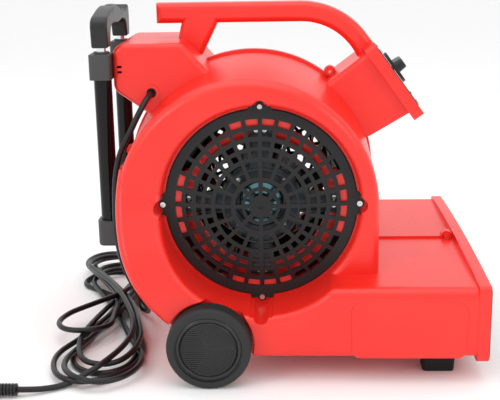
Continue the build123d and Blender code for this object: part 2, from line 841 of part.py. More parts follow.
with BuildPart() as impeller:
    with BuildSketch(Plane.XZ.offset(-impeller_half_y)):
        with Locations(fan_centre):
            with PolarLocations((impeller_eye_r + impeller_r) / 2, blade_count):
                add(blade.sketch)
    extrude(amount=2 * impeller_half_y)
    for ring_start in (-impeller_half_y, impeller_half_y - 4):
        with BuildSketch(Plane.XZ.offset(ring_start)):
            with Locations(fan_centre):
                Circle(impeller_r + 1)
                Circle(impeller_r - 10, mode=Mode.SUBTRACT)
        extrude(amount=4)
    with BuildSketch(Plane.XZ.offset(-2)):
        with Locations(fan_centre):
            Circle(impeller_r - 1)
            Circle(impeller_eye_r - 6, mode=Mode.SUBTRACT)
            with PolarLocations(0, 5):
                Rectangle(impeller_eye_r - 2, 24, align=(Align.MIN, Align.CENTER))
            Circle(hub_r + 8)
    extrude(amount=4)
    with BuildSketch(Plane.XZ.offset(-hub_half_y)):
        with Locations(fan_centre):
            Circle(hub_r)
    extrude(amount=2 * hub_half_y)
    with BuildSketch(Plane.XZ.offset(-impeller_half_y)):
        with Locations(fan_centre):
            Circle(shaft_r + 0.02)
    extrude(amount=2 * impeller_half_y, mode=Mode.SUBTRACT)
    with BuildSketch(Plane.XY.offset(fan_z)):
        with Locations((fan_x, hub_half_y - 5)):
            Circle(set_screw_r + 0.05)
    extrude(amount=hub_r + 2, mode=Mode.SUBTRACT)
impeller.part.label = "impeller"

with BuildPart() as hub_set_screw:
    with BuildSketch(Plane.XY.offset(fan_z + shaft_r + 0.02)):
        with Locations((fan_x, hub_half_y - 5)):
            Circle(set_screw_r)
    extrude(amount=hub_r - shaft_r - 1)
    with BuildSketch(Plane.XY.offset(fan_z + hub_r - 1 + 0.02)):
        with Locations((fan_x, hub_half_y - 5)):
            RegularPolygon(1.4, 6)
    extrude(amount=-3, mode=Mode.SUBTRACT)
hub_set_screw.part.label = "hub_set_screw"

# ---------------------------------------------------------------- capacitor in the rear box
capacitor_r = 17.0
capacitor_length = 62.0

with BuildPart() as capacitor:
    with BuildSketch(Plane.YZ.offset(box_back_x + wall + 6)):
        with Locations((20, capacitor_z)):
            Circle(capacitor_r)
    extrude(amount=capacitor_length)
    fillet(capacitor.edges().filter_by(GeomType.CIRCLE), 1.5)
capacitor.part.label = "run_capacitor"

with BuildPart() as capacitor_clip:
    with BuildSketch(Plane.YZ.offset(box_back_x + wall + 26)):
        with Locations((20, capacitor_z)):
            Circle(capacitor_r + 2)
            Circle(capacitor_r + fit_gap, mode=Mode.SUBTRACT)
        with Locations((20, capacitor_z)):
            Rectangle(18, box_ceiling_z - capacitor_z, align=(Align.CENTER, Align.MIN))
        with Locations((20, capacitor_z)):
            Circle(capacitor_r + fit_gap, mode=Mode.SUBTRACT)
    extrude(amount=16)
capacitor_clip.part.label = "capacitor_clip"

# ---------------------------------------------------------------- control panel
with BuildPart() as panel_plate:
    with BuildSketch(panel_plane(panel_length / 2, 0)):
        Rectangle(plate_length, plate_width)
        fillet(vertices(), 6)
        with GridLocations(plate_length - 12, plate_width - 12, 2, 2):
            Circle(screw_r - 0.4 + fastener_gap, mode=Mode.SUBTRACT)
        with Locations((knob_along - panel_length / 2, 0)):
            Circle(switch_shaft_r + 2.2, mode=Mode.SUBTRACT)
    extrude(amount=plate_thick)
panel_plate.part.label = "panel_plate"

with BuildPart() as panel_screws:
    corners = [(x, y) for x in (-1, 1) for y in (-1, 1)]
    corners = [(x * (plate_length - 12) / 2, y * (plate_width - 12) / 2) for x, y in corners]
    add(pan_head_screws(panel_plane(panel_length / 2, plate_thick), corners, screw_r - 0.4, 7, 3.0, 1.6))
panel_screws.part.label = "panel_screws"

with BuildPart() as rotary_switch:
    with BuildSketch(panel_plane(knob_along, -wall - 0.3)):
        Rectangle(30, 30)
        fillet(vertices(), 3)
    extrude(amount=-22)
    with BuildSketch(panel_plane(knob_along, -wall - 0.3)):
        Circle(switch_shaft_r + 2)
        Circle(switch_shaft_r + running, mode=Mode.SUBTRACT)
    extrude(amount=wall + plate_thick)
    with BuildSketch(panel_plane(knob_along, -wall - 0.3)):
        Circle(switch_shaft_r + running)
    extrude(amount=-15, mode=Mode.SUBTRACT)
    with BuildSketch(panel_plane(knob_along, -wall - 22.3)):
        with GridLocations(9, 12, 3, 2):
            Rectangle(0.8, 5)
    extrude(amount=-7)
rotary_switch.part.label = "rotary_switch"

with BuildPart() as switch_shaft:
    with BuildSketch(panel_plane(knob_along, -wall - 14)):
        Circle(switch_shaft_r)
    extrude(amount=wall + 14 + plate_thick + 11)
    with BuildSketch(panel_plane(knob_along, plate_thick + 0.3)):
        with Locations((0, switch_shaft_r + 0.8)):
            Rectangle(8, 4)
    extrude(amount=12, mode=Mode.SUBTRACT)
switch_shaft.part.label = "switch_shaft"

knob_base = plate_thick + 0.6
with BuildPart() as knob:
    with BuildSketch(panel_plane(knob_along, knob_base)):
        Circle(knob_r)
    extrude(amount=knob_skirt)
    fillet(knob.faces().filter_by(GeomType.PLANE).sort_by(SortBy.AREA)[-1].edges(), 1.0)
    with BuildSketch(panel_plane(knob_along, knob_base + knob_skirt - 0.5)):
        SlotOverall(2 * knob_r - 8, 17, rotation=90)
    extrude(amount=knob_height - knob_skirt, taper=6)
    fillet(knob.faces().sort_by(Axis(panel_plane().origin, panel_plane().z_dir))[-1].edges(), 2)
    with BuildSketch(panel_plane(knob_along, knob_base)):
        Circle(switch_shaft_r + fit_gap)
        with Locations((0, switch_shaft_r + 0.8)):
            Rectangle(8, 4 - 2 * fit_gap, mode=Mode.SUBTRACT)
    extrude(amount=12, mode=Mode.SUBTRACT)
knob.part.label = "speed_knob"

# ---------------------------------------------------------------- axle, wheels and feet
axle_half = wheel_outer_y - 6.0
clip_groove = axle_half - 3.0
cap_r = 42.0
clip_face_y = 0.3 - clip_groove + 1.5
tyre_inner_r = 44.0

with BuildPart() as axle:
    with BuildSketch(Plane.XZ.offset(-axle_half)):
        with Locations((wheel_x, wheel_r)):
            Circle(axle_r)
    extrude(amount=2 * axle_half)
    chamfer(axle.edges().filter_by(GeomType.CIRCLE), 1)
    for groove in (-clip_groove, clip_groove - 1.6):
        with BuildSketch(Plane.XZ.offset(groove)):
            with Locations((wheel_x, wheel_r)):
                Circle(axle_r + 1)
                Circle(axle_r - 1, mode=Mode.SUBTRACT)
        extrude(amount=1.6, mode=Mode.SUBTRACT)
axle.part.label = "wheel_axle"

wheel_axis = Axis((wheel_x, 0, wheel_r), (0, 1, 0))
wheel_plane = Plane(origin=(wheel_x, 0, wheel_r), x_dir=(1, 0, 0), z_dir=(0, 0, 1))

with BuildPart() as tyre_near:
    with BuildSketch(wheel_plane):
        with Locations((0, -wheel_outer_y)):
            with Locations(((tyre_inner_r + wheel_r) / 2, wheel_width / 2)):
                Rectangle(wheel_r - tyre_inner_r, wheel_width)
        outer = vertices().sort_by(Axis.X)[-2:]
        fillet(outer, 6)
    revolve(axis=wheel_axis)
    for depth in (wheel_width * 0.3, wheel_width * 0.5, wheel_width * 0.7):
        with BuildSketch(wheel_plane):
            with Locations((wheel_r, depth - wheel_outer_y)):
                Rectangle(1.2, 1.4)
        revolve(axis=wheel_axis, mode=Mode.SUBTRACT)
tyre_near.part.label = "tyre_near"

with BuildPart() as wheel_hub_near:
    with BuildSketch(wheel_plane):
        with BuildLine():
            inner_y, outer_y = -wheel_inner_y, 2 - wheel_outer_y
            Polyline(
                (axle_r + running, inner_y + 0.5),
                (13, inner_y + 0.5),
                (13, inner_y - 8),
                (tyre_inner_r - 5, inner_y - 8),
                (tyre_inner_r - 5, inner_y - 1),
                (tyre_inner_r - fit_gap, inner_y - 1),
                (tyre_inner_r - fit_gap, outer_y),
                (cap_r + 0.2, outer_y),
                (cap_r + 0.2, outer_y + 3),
                (tyre_inner_r - 5, outer_y + 3),
                (tyre_inner_r - 5, inner_y - 12),
                (13, inner_y - 12),
                (13, clip_face_y),
                (axle_r + running, clip_face_y),
                close=True,
            )
        make_face()
    revolve(axis=wheel_axis)
wheel_hub_near.part.label = "wheel_hub_near"

cap_back = 2 - wheel_outer_y + 2.8
with BuildPart() as hub_cap_near:
    with BuildSketch(wheel_plane):
        with BuildLine():
            face_y = -wheel_outer_y
            Polyline(
                (0, cap_back - 0.5),
                (cap_r - 4.5, cap_back - 0.5),
                (cap_r - 4.5, cap_back),
                (cap_r, cap_back),
                (cap_r, face_y + 1.5),
                (cap_r - 1.5, face_y + 0.4),
                (cap_r - 4, face_y + 0.4),
                (cap_r - 5.5, face_y + 2.0),
                (cap_r - 7, face_y + 0.6),
                (0, face_y + 0.2),
                close=True,
            )
        make_face()
    revolve(axis=wheel_axis)
hub_cap_near.part.label = "hub_cap_near"

with BuildPart() as axle_clips:
    with BuildSketch(Plane.XZ.offset(clip_groove - 1.5)):
        with Locations((wheel_x, wheel_r)):
            Circle(axle_r + 3.5)
            Circle(axle_r - 0.9, mode=Mode.SUBTRACT)
            with Locations((0, -axle_r)):
                Rectangle(7, 8, mode=Mode.SUBTRACT)
    extrude(amount=1.4)
    mirror(axle_clips.part, about=Plane.XZ)
axle_clips.part.label = "axle_clips"

wheel_far = []
for piece, name in ((tyre_near, "tyre_far"), (wheel_hub_near, "wheel_hub_far"), (hub_cap_near, "hub_cap_far")):
    with BuildPart() as mirrored:
        mirror(piece.part, about=Plane.XZ)
    mirrored.part.label = name
    wheel_far.append(mirrored)

with BuildPart() as foot_near:
    with BuildSketch(Plane.XY):
        with Locations((foot_x, -foot_y)):
            Rectangle(foot_length - 5, foot_width - 5)
            fillet(vertices(), 5)
    extrude(amount=base_z, taper=-4)
    fillet(foot_near.faces().sort_by(Axis.Z)[0].edges(), 2)
    with BuildSketch(Plane.XY):
        with Locations((foot_x - 12, -foot_y), (foot_x + 12, -foot_y)):
            Circle(screw_r + 3)
    extrude(amount=base_z - 6, mode=Mode.SUBTRACT)
    add(foot_holes(start_z=1, depth=base_z), mode=Mode.SUBTRACT)
foot_near.part.label = "foot_near"
with BuildPart() as foot_far:
    mirror(foot_near.part, about=Plane.XZ)
foot_far.part.label = "foot_far"

with BuildPart() as foot_screws:
    add(
        pan_head_screws(
            Plane(origin=(foot_x, -foot_y, base_z - 6), x_dir=(1, 0, 0), z_dir=(0, 0, -1)),
            [(-12, 0), (12, 0)],
            screw_r,
            14,
            4,
            2.4,
        )
    )
    mirror(foot_screws.part, about=Plane.XZ)
foot_screws.part.label = "foot_screws"

# ---------------------------------------------------------------- trolley: fixed tubes and brackets
tube_bottom_z = bracket_bottom_z + 5
tube_top_z = collar_top_z - 3


def at_tube(side):
    """Centre of one trolley tube in X and Y."""
    return (tube_x, side * tube_y)


def round_column(side, radius, bore, low, high):
    """Tube or rod standing at one side of the trolley."""
    with BuildPart() as form:
        with BuildSketch(Plane.XY.offset(low)):
            with Locations(at_tube(side)):
                Circle(radius)
                if bore:
                    Circle(bore, mode=Mode.SUBTRACT)
        extrude(amount=high - low)
    return form.part


trolley = []
for side, place in ((-1, "near"), (1, "far")):
    with BuildPart() as outer_tube:
        add(round_column(side, tube_r, tube_r - tube_wall, tube_bottom_z, tube_top_z))
    outer_tube.part.label = f"outer_tube_{place}"
    with BuildPart() as middle_tube:
        add(round_column(side, middle_r, middle_r - 1.2, tube_bottom_z + 12, collar_top_z - 0.3))
        add(round_column(side, tube_r - tube_wall - 0.15, middle_r - 1.2, tube_bottom_z + 12, tube_bottom_z + 30))
    middle_tube.part.label = f"middle_tube_{place}"
    with BuildPart() as inner_rod:
        add(round_column(side, rod_r, 0, tube_bottom_z + 20, grip_bottom_z + 12))
        add(round_column(side, middle_r - 1.2 - 0.15, 0, tube_bottom_z + 20, tube_bottom_z + 36))
    inner_rod.part.label = f"inner_rod_{place}"
    with BuildPart() as middle_bush:
        add(
            round_column(
                side, middle_r - 1.2 - fit_gap, rod_r + running, collar_top_z - 14, collar_top_z - 0.3
            )
        )
        with BuildSketch(Plane.XY.offset(collar_top_z)):
            with Locations(at_tube(side)):
                Circle(middle_r + 1)
                Circle(rod_r + running, mode=Mode.SUBTRACT)
        extrude(amount=2.5)
        with BuildSketch(Plane.XY.offset(collar_top_z - 0.3)):
            with Locations(at_tube(side)):
                Circle(middle_r - 1.2 - fit_gap)
                Circle(rod_r + running, mode=Mode.SUBTRACT)
        extrude(amount=0.3)
    middle_bush.part.label = f"middle_bush_{place}"
    trolley += [outer_tube, middle_tube, inner_rod, middle_bush]

collar_x = (back_x + box_back_x - body_gap) / 2
collar_width = box_back_x - body_gap - back_x

with BuildPart() as upper_bracket:
    for side in (-1, 1):
        with BuildSketch(Plane.XY.offset(collar_bottom_z)):
            with Locations((collar_x, side * tube_y)):
                RectangleRounded(collar_width, 33, 5)
        extrude(amount=collar_top_z - collar_bottom_z)
    fillet(upper_bracket.faces().filter_by(Axis.Z).group_by(Axis.Z)[-1].edges(), 1.5)
    with BuildSketch(Plane.XY.offset(collar_bottom_z + 4)):
        with Locations((box_back_x - body_gap, 0)):
            Rectangle(7, 2 * tube_y, align=(Align.MAX, Align.CENTER))
    extrude(amount=collar_top_z - collar_bottom_z - 10)
    with BuildSketch(Plane.XY.offset(collar_bottom_z)):
        with Locations((tube_x, -tube_y), (tube_x, tube_y)):
            Circle(tube_r + fit_gap)
    extrude(amount=tube_top_z - collar_bottom_z, mode=Mode.SUBTRACT)
    with BuildSketch(Plane.XY.offset(collar_bottom_z)):
        with Locations((tube_x, -tube_y), (tube_x, tube_y)):
            Circle(middle_r + running)
    extrude(amount=60, mode=Mode.SUBTRACT)
    with BuildSketch(Plane.YZ.offset(back_x - 1)):
        with Locations((-bracket_screw_y, upper_screw_z), (bracket_screw_y, upper_screw_z)):
            Circle(screw_r + fastener_gap)
    extrude(amount=60, mode=Mode.SUBTRACT)
upper_bracket.part.label = "upper_bracket"

with BuildPart() as lower_bracket:
    for side in (-1, 1):
        with BuildSketch(Plane.XY.offset(bracket_bottom_z)):
            with Locations((back_x, side * tube_y)):
                RectangleRounded(44, 33, 8, align=(Align.MIN, Align.CENTER))
        extrude(amount=bracket_top_z - bracket_bottom_z)
    fillet(lower_bracket.faces().filter_by(Axis.Z).group_by(Axis.Z)[0].edges(), 4)
    with BuildSketch(Plane.XY.offset(bracket_bottom_z + 4)):
        with Locations((back_x + 26, 0)):
            Rectangle(26, 2 * tube_y, align=(Align.MIN, Align.CENTER))
    extrude(amount=bracket_top_z - bracket_bottom_z - 8)
    with BuildSketch(Plane.XY.offset(tube_bottom_z)):
        with Locations((tube_x, -tube_y), (tube_x, tube_y)):
            Circle(tube_r + fit_gap)
    extrude(amount=60, mode=Mode.SUBTRACT)
    extrude(spiral_face(scroll_arcs, -body_gap, 0), amount=120, both=True, mode=Mode.SUBTRACT)
    add(fan_chamber(-body_gap), mode=Mode.SUBTRACT)
    add(mirror(fan_chamber(-body_gap), about=Plane.XZ, mode=Mode.PRIVATE), mode=Mode.SUBTRACT)
    extrude(spiral_face(scroll_arcs, -rib_height - body_gap, 0), amount=rib_depth + 0.5, both=True,
            mode=Mode.SUBTRACT)
    with BuildSketch(Plane.YZ.offset(back_x - 1)):
        with Locations((-bracket_screw_y, lower_screw_z), (bracket_screw_y, lower_screw_z)):
            Circle(screw_r + fastener_gap)
    extrude(amount=80, mode=Mode.SUBTRACT)
lower_bracket.part.label = "lower_bracket"

with BuildPart() as bracket_screws:
    for z, head_x, length in ((upper_screw_z, box_back_x - body_gap - 7, 12), (lower_screw_z, back_x + 26, 26)):
        add(
            pan_head_screws(
                Plane(origin=(head_x, 0, z), x_dir=(0, 1, 0), z_dir=(-1, 0, 0)),
                [(-bracket_screw_y, 0), (bracket_screw_y, 0)],
                screw_r,
                length,
                4.2,
                2.6,
            )
        )
bracket_screws.part.label = "bracket_screws"

# ---------------------------------------------------------------- trolley grip and its button
leg_y = tube_y + grip_leg / 2
arch_inner_y = tube_y - grip_leg / 2
with BuildPart() as trolley_grip:
    with BuildSketch(Plane.YZ.offset(tube_x - grip_half_x)):
        with BuildLine():
            Line((-leg_y + 3, grip_bottom_z), (-leg_y, grip_bottom_z + 26))
            Spline(
                (-leg_y, grip_bottom_z + 26),
                (-tube_y + 6, grip_top_z - 7),
                (0, grip_top_z),
                (tube_y - 6, grip_top_z - 7),
                (leg_y, grip_bottom_z + 26),
                tangents=[(0, 1), (0, -1)],
            )
            Line((leg_y, grip_bottom_z + 26), (leg_y - 3, grip_bottom_z))
            Polyline((leg_y - 3, grip_bottom_z), (arch_inner_y + 3, grip_bottom_z), (arch_inner_y, grip_bottom_z + 9))
            Spline(
                (arch_inner_y, grip_bottom_z + 9),
                (0, grip_top_z - 23),
                (-arch_inner_y, grip_bottom_z + 9),
                tangents=[(-0.2, 1), (-0.2, -1)],
            )
            Polyline((-arch_inner_y, grip_bottom_z + 9), (-arch_inner_y - 3, grip_bottom_z), (-leg_y + 3, grip_bottom_z))
        make_face()
    extrude(amount=2 * grip_half_x)
    fillet(trolley_grip.faces().filter_by(GeomType.PLANE).filter_by(Axis.X).edges(), 3)
    for side in (-1, 1):
        with BuildSketch(Plane.XY.offset(grip_bottom_z)):
            with Locations(at_tube(side)):
                Circle(rod_r + fit_gap)
        extrude(amount=12, mode=Mode.SUBTRACT)
    with BuildSketch(Plane.XY.offset(grip_top_z - 9)):
        with Locations((tube_x, 0)):
            RectangleRounded(button_width, button_length, 4)
    extrude(amount=20, mode=Mode.SUBTRACT)
trolley_grip.part.label = "trolley_grip"

with BuildPart() as release_button:
    with BuildSketch(Plane.XY.offset(grip_top_z - 9 + button_travel + 0.4)):
        with Locations((tube_x, 0)):
            RectangleRounded(button_width - 2 * body_gap, button_length - 2 * body_gap, 4 - body_gap)
    extrude(amount=9 - button_travel + 1.6)
    fillet(release_button.faces().sort_by(Axis.Z)[-1].edges(), 1.4)
release_button.part.label = "release_button"

# ---------------------------------------------------------------- mains cord
# the cord hangs from the rear box, lies in a tied hank on the floor and ends in a plug
hang_route = [
    (-178, -83, 358),
    (-180, -100.5, 356),
    (-185.5, -115, 346.5),
    (-193.5, -124, 331.5),
    (-203, -126.5, 312),
    (-218.5, -124.5, 284),
    (-227, -120, 250),
    (-230.5, -114.5, 208),
    (-232, -109, 163),
    (-226, -99, 117),
    (-213, -80, 74),
    (-202, -50, 38),
    (-206, -12, 14),
    (-226, 24, 9),
]
tail_route = [
    (-262, -222, 10),
    (-285, -243, 4.6),
    (-308, -256, 6),
    (-326, -264, 9),
    (-339, -266, 10),
]
# outline of the tied hank on the floor, a small loop end towards the fan and a large one behind
hank_outline = [
    (-256, -264), (-214, -240), (-195, -180), (-208, -95), (-222, -12), (-224, 60),
    (-232, 150), (-262, 226), (-305, 240), (-343, 200), (-336, 128), (-288, 60), (-266, 4),
    (-298, -60), (-319, -110), (-314, -180), (-290, -236),
]
hank_height = 26.0


def corner_radii(points):
    """Arc radius at each inner point: 0.45 of its shorter run over the tangent of half the turn."""
    radii = []
    for before, here, after in zip(points, points[1:], points[2:]):
        run_in, run_out = Vector(here) - Vector(before), Vector(after) - Vector(here)
        turn = radians(run_in.get_angle(run_out))
        radii.append(0.45 * min(run_in.length, run_out.length) / tan(turn / 2))
    return radii


cord_pieces = []
for points, name in ((hang_route, "cord_hanging"), (tail_route, "cord_tail")):
    radii = corner_radii(points)
    print(name, "arc radii", [round(r) for r in radii])
    with BuildPart() as cord_tube:
        with BuildLine() as path:
            FilletPolyline(*points, radius=radii)
        wire = path.wires()[0]
        with BuildSketch(Plane(origin=wire @ 0, z_dir=wire % 0)):
            Circle(cord_r)
        sweep(path=wire)
    length = wire.length
    print(name, "length", round(length), "volume ratio", round(cord_tube.part.volume / (pi * cord_r**2 * length), 4))
    cord_tube.part.label = name
    cord_pieces.append(cord_tube)

with BuildPart() as cord_hank:
    with BuildSketch(Plane.XY):
        with BuildLine():
            Spline(*hank_outline, periodic=True)
        make_face()
    extrude(amount=hank_height)
cord_hank.part.label = "cord_hank"

with BuildPart() as cord_gland:
    with BuildSketch(Plane.XZ.offset(box_half_y - 34)):
        with Locations((cord_hole[0], cord_hole[2])):
            Circle(gland_r - 1.8)
    extrude(amount=30)
    with BuildSketch(Plane.XZ.offset(box_half_y - 10)):
        with Locations((cord_hole[0], cord_hole[2])):
            Circle(gland_r + 3)
    extrude(amount=10 - wall - body_gap)
    with BuildSketch(Plane.XZ.offset(box_half_y - wall - 1)):
        with Locations((cord_hole[0], cord_hole[2])):
            Circle(gland_r - body_gap)
    extrude(amount=wall - 1)
cord_gland.part.label = "cord_gland"

# ---------------------------------------------------------------- plug
sleeve_start = tail_route[-1]
sleeve_r = 8.0
sleeve_length = 26.0
plug_length = 42.0
plug_plane = Plane(origin=sleeve_start, x_dir=(0, 1, 0), z_dir=(-1, 0, 0))

with BuildPart() as plug_sleeve:
    with BuildSketch(plug_plane):
        Circle(cord_r + 2)
    extrude(amount=sleeve_length)
    for rib in range(6):
        with BuildSketch(plug_plane.offset(1 + rib * 4.3)):
            Circle(sleeve_r)
        extrude(amount=2.2)
plug_sleeve.part.label = "plug_sleeve"

with BuildPart() as plug_body:
    with BuildSketch(plug_plane.offset(sleeve_length)):
        RectangleRounded(22, 17, 6)
    with BuildSketch(plug_plane.offset(sleeve_length + 16)):
        RectangleRounded(38, 19, 7)
    loft()
    with BuildSketch(plug_plane.offset(sleeve_length + 16)):
        RectangleRounded(38, 19, 7)
    extrude(amount=plug_length - 16)
plug_body.part.label = "plug_body"

with BuildPart() as plug_pins:
    with BuildSketch(plug_plane.offset(sleeve_length + plug_length)):
        with Locations((-9.5, 0), (9.5, 0)):
            Circle(2.4)
    extrude(amount=19)
    fillet(plug_pins.faces().sort_by(Axis.X)[:2].edges(), 2)
plug_pins.part.label = "plug_pins"

pieces = [
    housing_near, housing_far, seam_screws, grille_near, grille_far, grille_screws_near,
    grille_screws_far, outlet_grid, motor_spider, spider_screws, motor_body, motor_screws, motor_bell,
    *motor_bearings, motor_shaft, impeller, hub_set_screw, capacitor, capacitor_clip, panel_plate,
    panel_screws, rotary_switch, switch_shaft, knob, axle, tyre_near, wheel_hub_near, hub_cap_near,
    *wheel_far, axle_clips, foot_near, foot_far, foot_screws, *trolley, upper_bracket, lower_bracket,
    bracket_screws, trolley_grip, release_button, cord_gland, *cord_pieces, cord_hank, plug_sleeve,
    plug_body, plug_pins,
]
for piece in pieces:
    export_step(piece.part, f"parts/{piece.part.label}.step")
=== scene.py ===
"""Air mover: the looks of the carpet blower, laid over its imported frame. Metres, +Z up."""

import math

import bmesh
import bpy
import numpy as np
from mathutils import Matrix, Vector


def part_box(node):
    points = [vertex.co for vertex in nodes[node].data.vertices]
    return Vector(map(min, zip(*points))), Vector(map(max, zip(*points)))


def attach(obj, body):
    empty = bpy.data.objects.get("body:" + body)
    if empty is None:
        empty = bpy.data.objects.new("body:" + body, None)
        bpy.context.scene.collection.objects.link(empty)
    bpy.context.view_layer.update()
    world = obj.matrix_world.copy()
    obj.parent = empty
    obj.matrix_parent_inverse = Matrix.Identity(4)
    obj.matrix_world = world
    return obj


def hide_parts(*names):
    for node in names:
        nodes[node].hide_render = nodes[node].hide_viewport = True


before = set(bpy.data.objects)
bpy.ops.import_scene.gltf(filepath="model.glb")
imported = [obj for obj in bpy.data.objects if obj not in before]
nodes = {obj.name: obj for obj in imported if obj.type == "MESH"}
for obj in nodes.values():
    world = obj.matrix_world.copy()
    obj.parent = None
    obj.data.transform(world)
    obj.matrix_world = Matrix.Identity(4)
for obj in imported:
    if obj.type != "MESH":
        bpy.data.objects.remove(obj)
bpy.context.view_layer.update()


# ---------------------------------------------------------------- camera
def place_camera():
    """Camera in front of the near inlet, slightly above the machine and turned towards its outlet."""
    pitch, turn, roll = math.radians(15.05), math.radians(2.47), math.radians(-1.02)
    ahead = Vector((-math.sin(turn) * math.cos(pitch), math.cos(turn) * math.cos(pitch), -math.sin(pitch)))
    level = Vector((math.cos(turn), math.sin(turn), 0))
    up = level.cross(ahead)
    right = math.cos(roll) * level + math.sin(roll) * up
    up = -math.sin(roll) * level + math.cos(roll) * up
    data = bpy.data.cameras.new("camera")
    data.sensor_width = 36
    data.lens = 72
    camera = bpy.data.objects.new("camera", data)
    bpy.context.scene.collection.objects.link(camera)
    turned = Matrix((right, up, -ahead)).transposed().to_4x4()
    turned.translation = Vector((0.0092, -1.4139, 0.5655))
    camera.matrix_world = turned
    bpy.context.scene.camera = camera


place_camera()

# ---------------------------------------------------------------- mains cord
cord_radius = 0.004
floor_lift = 0.0042             # height of the cord's middle where it lies on the floor
bundle_rise = 0.016             # from the first turn of the bundle to the last, before they settle

settle_rounds = 400
lying_gap = 0.0006              # left between two turns that lie on each other
push_share = 0.4                # part of an overlap that one round takes out
sideways_share = 0.15           # turns climb over each other more than they slide aside
level_share = 0.12              # how far one round evens out a bump
sink_step = 0.00015             # drop of a loose point in one round
longest_step = 0.002

# from the gland in the rear box down behind the scroll to the bundle
hang_route = [
    (-0.178, -0.083, 0.358),
    (-0.180, -0.1005, 0.356),
    (-0.1855, -0.115, 0.3465),
    (-0.1935, -0.124, 0.3315),
    (-0.203, -0.1265, 0.312),
    (-0.2185, -0.1245, 0.284),
    (-0.227, -0.120, 0.250),
    (-0.2305, -0.1145, 0.208),
    (-0.232, -0.109, 0.163),
    (-0.226, -0.099, 0.117),
    (-0.213, -0.080, 0.074),
    (-0.202, -0.050, 0.038),
    (-0.206, -0.012, 0.014),
    (-0.226, 0.024, 0.009),
]
# from the bundle to the plug's sleeve
tail_route = [
    (-0.262, -0.222, 0.010),
    (-0.285, -0.243, 0.0046),
    (-0.308, -0.256, 0.006),
    (-0.326, -0.264, 0.009),
    (-0.339, -0.266, 0.010),
]
# loops of the bundle: right side, tip and left side of each, in X and Y, in the order they were laid
far_lobes = [
    ((-0.230, 0.140), (-0.292, 0.208), (-0.338, 0.140)),
    ((-0.228, 0.165), (-0.268, 0.240), (-0.325, 0.190)),
    ((-0.228, 0.120), (-0.270, 0.196), (-0.322, 0.135)),
    ((-0.234, 0.190), (-0.288, 0.262), (-0.331, 0.195)),
    ((-0.236, 0.175), (-0.296, 0.258), (-0.345, 0.205)),
    ((-0.236, 0.150), (-0.285, 0.225), (-0.335, 0.170)),
]
near_lobes = [
    ((-0.204, -0.150), (-0.246, -0.209), (-0.296, -0.150)),
    ((-0.196, -0.140), (-0.250, -0.236), (-0.317, -0.160)),
    ((-0.192, -0.175), (-0.236, -0.258), (-0.300, -0.195)),
    ((-0.198, -0.120), (-0.236, -0.204), (-0.290, -0.150)),
    ((-0.250, -0.092), (-0.313, -0.108), (-0.321, -0.044)),
]
waist = Vector((-0.250, 0.026))


def lobe(start, loop, end):
    """Points of one loop: out along its right side, round its tip and back along its left."""
    right, tip, left = (Vector(corner) for corner in loop)
    middle = (right + left) / 2
    along_side = 0.68
    points = [start.lerp(right, along_side)]
    for step in range(5):
        angle = math.radians(45 * step)
        points.append(middle + (right - middle) * math.cos(angle) + (tip - middle) * math.sin(angle))
    points.append(end.lerp(left, along_side))
    return points


def bundle_points():
    """Control points of all the loops, each turn lying on the one before."""
    flat = []
    for turn, loop in enumerate(far_lobes):
        before = waist + Vector((0.010 * math.cos(2.4 * turn), 0.016 * math.sin(1.7 * turn)))
        between = waist + Vector((0.010 * math.sin(2.1 * turn + 1), 0.016 * math.cos(1.3 * turn)))
        if turn:
            flat.append(before)
        flat += lobe(before, loop, between)
        flat.append(between)
        if turn < len(near_lobes):
            flat += lobe(between, near_lobes[turn], waist)
    flat += [Vector((-0.226, -0.050)), Vector((-0.214, -0.105)), Vector((-0.220, -0.155)), Vector((-0.238, -0.196))]
    lift = bundle_rise / len(flat)
    return [(p.x, p.y, cord_radius + 0.001 + lift * i) for i, p in enumerate(flat)]


def nearest_on_runs(points, first, second):
    """Where two straight runs of the line come closest: place along each, and the offset between them."""
    a, b = points[first], points[second]
    run_a, run_b = points[first + 1] - a, points[second + 1] - b
    aa, bb, ab = (run_a**2).sum(1), (run_b**2).sum(1), (run_a * run_b).sum(1)
    gap = a - b
    along_a, along_b = (run_a * gap).sum(1), (run_b * gap).sum(1)
    s = np.clip((ab * along_b - along_a * bb) / np.maximum(aa * bb - ab**2, 1e-12), 0, 1)
    t = np.clip((ab * s + along_b) / bb, 0, 1)
    s = np.clip((ab * t - along_a) / aa, 0, 1)
    offset = (a + run_a * s[:, None]) - (b + run_b * t[:, None])
    return s, t, offset


def settle(points, held):
    """Lets the loops lie on each other under their own weight; held points at each end stay."""
    points = np.array(points)
    free = np.ones((len(points), 1))
    free[: held[0]] = 0
    free[len(points) - held[1] :] = 0
    first, second = np.triu_indices(len(points) - 1, 3)
    touching = 2 * cord_radius + lying_gap
    for _ in range(settle_rounds):
        s, t, offset = nearest_on_runs(points, first, second)
        apart = np.maximum(np.linalg.norm(offset, axis=1), 1e-6)
        near = apart < touching
        push = offset[near] / apart[near, None] * ((touching - apart[near]) * push_share)[:, None]
        move = np.zeros_like(points)
        np.add.at(move, first[near], push * (1 - s[near])[:, None])
        np.add.at(move, first[near] + 1, push * s[near][:, None])
        np.add.at(move, second[near], -push * (1 - t[near])[:, None])
        np.add.at(move, second[near] + 1, -push * t[near][:, None])
        move[:, :2] *= sideways_share
        move[1:-1, 2] += level_share * (points[:-2, 2] + points[2:, 2] - 2 * points[1:-1, 2])
        move[:, 2] -= sink_step
        points = points + np.clip(move, -longest_step, longest_step) * free
        points[:, 2] = np.maximum(points[:, 2], np.where(free[:, 0] > 0, floor_lift, points[:, 2]))
    return [tuple(float(v) for v in p) for p in points]


